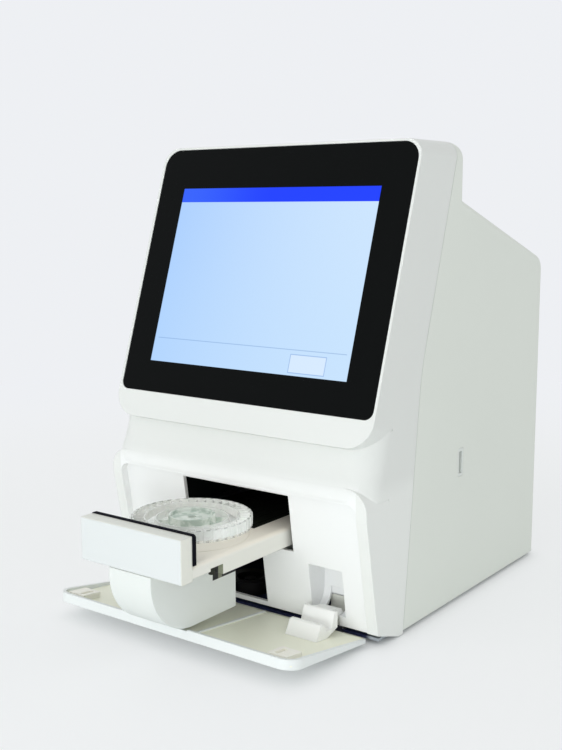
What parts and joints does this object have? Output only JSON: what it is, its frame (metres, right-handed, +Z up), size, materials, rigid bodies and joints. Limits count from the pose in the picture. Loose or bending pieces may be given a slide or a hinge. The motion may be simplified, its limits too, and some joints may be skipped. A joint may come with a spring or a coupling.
{
  "type": "chemistry analyzer",
  "caption": "Benchtop chemistry analyzer with a leaning touch screen, a motor-driven disc drawer and a fold-down flap.",
  "frame": {"origin": "on the bench under the middle of the whole, with the drawer out", "axes": "+X to the right as seen from the front, +Y to the back, +Z up"},
  "size_m": [0.211, 0.3425, 0.3117],
  "materials": {
    "brass": "turned brass",
    "circuit_board": "green board with chips",
    "disc_clear": "clear moulded plastic, faintly milky",
    "display": "lit display face in a metal frame",
    "drawer_cream": "warm white, satin",
    "drawer_white": "warm white, satin",
    "foam_black": "dull black foam rubber",
    "glass_black": "black printed border round a clear window, glossy",
    "motor_steel": "plated steel can",
    "nylon_white": "natural nylon",
    "optics_black": "black anodised",
    "plastic_black": "fine grained black",
    "port_plastic": "light plastic rim",
    "rubber_black": "matt rubber",
    "screw_steel": "nickel-plated",
    "sheet_metal": "zinc-plated sheet",
    "shell_grey_white": "smooth moulded, satin",
    "shell_white": "smooth moulded, satin",
    "socket_metal": "plated sockets on a board",
    "speaker_black": "black basket and cone",
    "supply_parts": "board with its parts"
  },
  "bodies": {
    "housing": {"front_shell": "shell_white", "rear_shell": "shell_grey_white", "screen_glass": "glass_black", "lcd_panel": "display", "display_bracket": "sheet_metal", "display_board": "circuit_board", "base_plate": "sheet_metal", "feet": "rubber_black", "chassis": "sheet_metal", "rail_left": "sheet_metal", "rail_right": "sheet_metal", "chamber_cover": "plastic_black", "deck_screws": "screw_steel", "optics_block": "optics_black", "main_board": "circuit_board", "board_standoffs": "brass", "drive_motor": "motor_steel", "power_supply": "supply_parts", "fan_frame": "plastic_black", "power_inlet": "plastic_black", "switch_frame": "plastic_black", "io_board": "socket_metal", "side_port": "port_plastic", "speaker": "speaker_black", "rear_screws": "screw_steel", "hinge_bracket_left": "sheet_metal", "hinge_bracket_right": "sheet_metal", "hinge_pin_left": "screw_steel", "hinge_pin_right": "screw_steel"},
    "drawer": {"drawer_tray": "drawer_cream", "drawer_front": "drawer_white", "drawer_nose": "drawer_white", "light_seal": "foam_black", "tray_liner": "plastic_black", "spindle_motor": "motor_steel", "drawer_rack": "nylon_white", "latch_posts": "brass"},
    "disc": {"disc_hub": "plastic_black", "reagent_disc": "disc_clear"},
    "flap": {"flap_door": "shell_white", "hinge_arm_left": "shell_grey_white", "hinge_arm_right": "shell_grey_white", "latch_tab_left": "shell_grey_white", "latch_tab_right": "shell_grey_white"},
    "pinion": {"drive_pinion": "nylon_white"},
    "fan": {"fan_rotor": "plastic_black"},
    "rocker": {"power_switch": "plastic_black"}
  },
  "joints": [
    {"name": "drawer_slide", "type": "slide", "parent": "housing", "child": "drawer", "axis": [0, 1, 0], "range_m": [0, 0.108]},
    {"name": "disc_spin", "type": "hinge", "parent": "drawer", "child": "disc", "pos_m": [0, -0.114, 0.0722], "axis": [0, 0, 1], "continuous": true},
    {"name": "flap_hinge", "type": "hinge", "parent": "housing", "child": "flap", "pos_m": [0, -0.0564, 0.0089], "axis": [-1, 0, 0], "range_deg": [0, 71]},
    {"name": "pinion_spin", "type": "hinge", "parent": "housing", "child": "pinion", "pos_m": [-0.0375, 0.007, 0.054], "axis": [0, 0, 1], "range_deg": [0, 700]},
    {"name": "fan_spin", "type": "hinge", "parent": "housing", "child": "fan", "pos_m": [0.048, 0.1593, 0.15], "axis": [0, 1, 0], "continuous": true},
    {"name": "switch_rock", "type": "hinge", "parent": "housing", "child": "rocker", "pos_m": [-0.084, 0.1692, 0.07], "axis": [1, 0, 0], "range_deg": [0, 14]}
  ],
  "couplings": [
    {"joint": "flap_hinge", "follows": "drawer_slide", "rad_per_m": 4.1},
    {"joint": "pinion_spin", "follows": "drawer_slide", "rad_per_m": 111.11}
  ]
}
